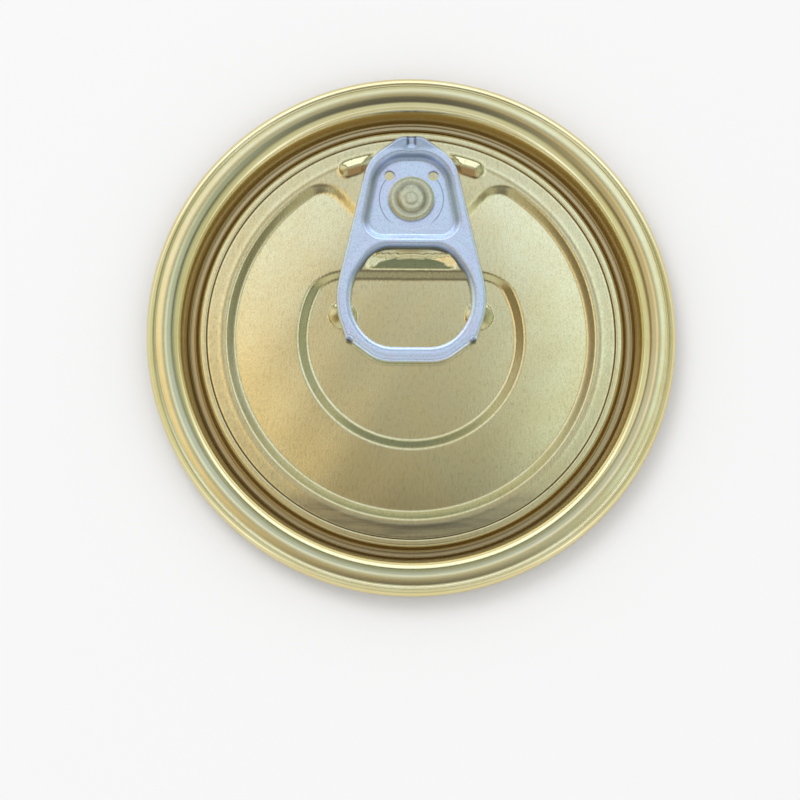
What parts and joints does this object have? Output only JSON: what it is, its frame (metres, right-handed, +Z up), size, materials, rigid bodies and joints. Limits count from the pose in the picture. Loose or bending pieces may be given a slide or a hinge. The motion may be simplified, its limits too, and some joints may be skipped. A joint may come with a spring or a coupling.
{
  "type": "ring-pull can lid",
  "caption": "Loose ring-pull lid for a round food can: gold-lacquered pressed end with curled rim, tear line and stepped panel, and a riveted blue-silver pull tab.",
  "frame": {"origin": "centre of the round rim, on the surface the lid lies on, at the underside of the groove", "axes": "+Z up out of the outer face, through the rim's centre; +Y from the ring towards the tab's nose"},
  "size_m": [0.0826, 0.0826, 0.0047],
  "materials": {
    "gold_lacquered_tinplate": "satin gold lacquer over tinplate, fine rolling grain",
    "tab_metal": "satin, faintly blue"
  },
  "bodies": {
    "root": {"lid_end": "gold_lacquered_tinplate", "pull_tab": "tab_metal"}
  },
  "joints": []
}
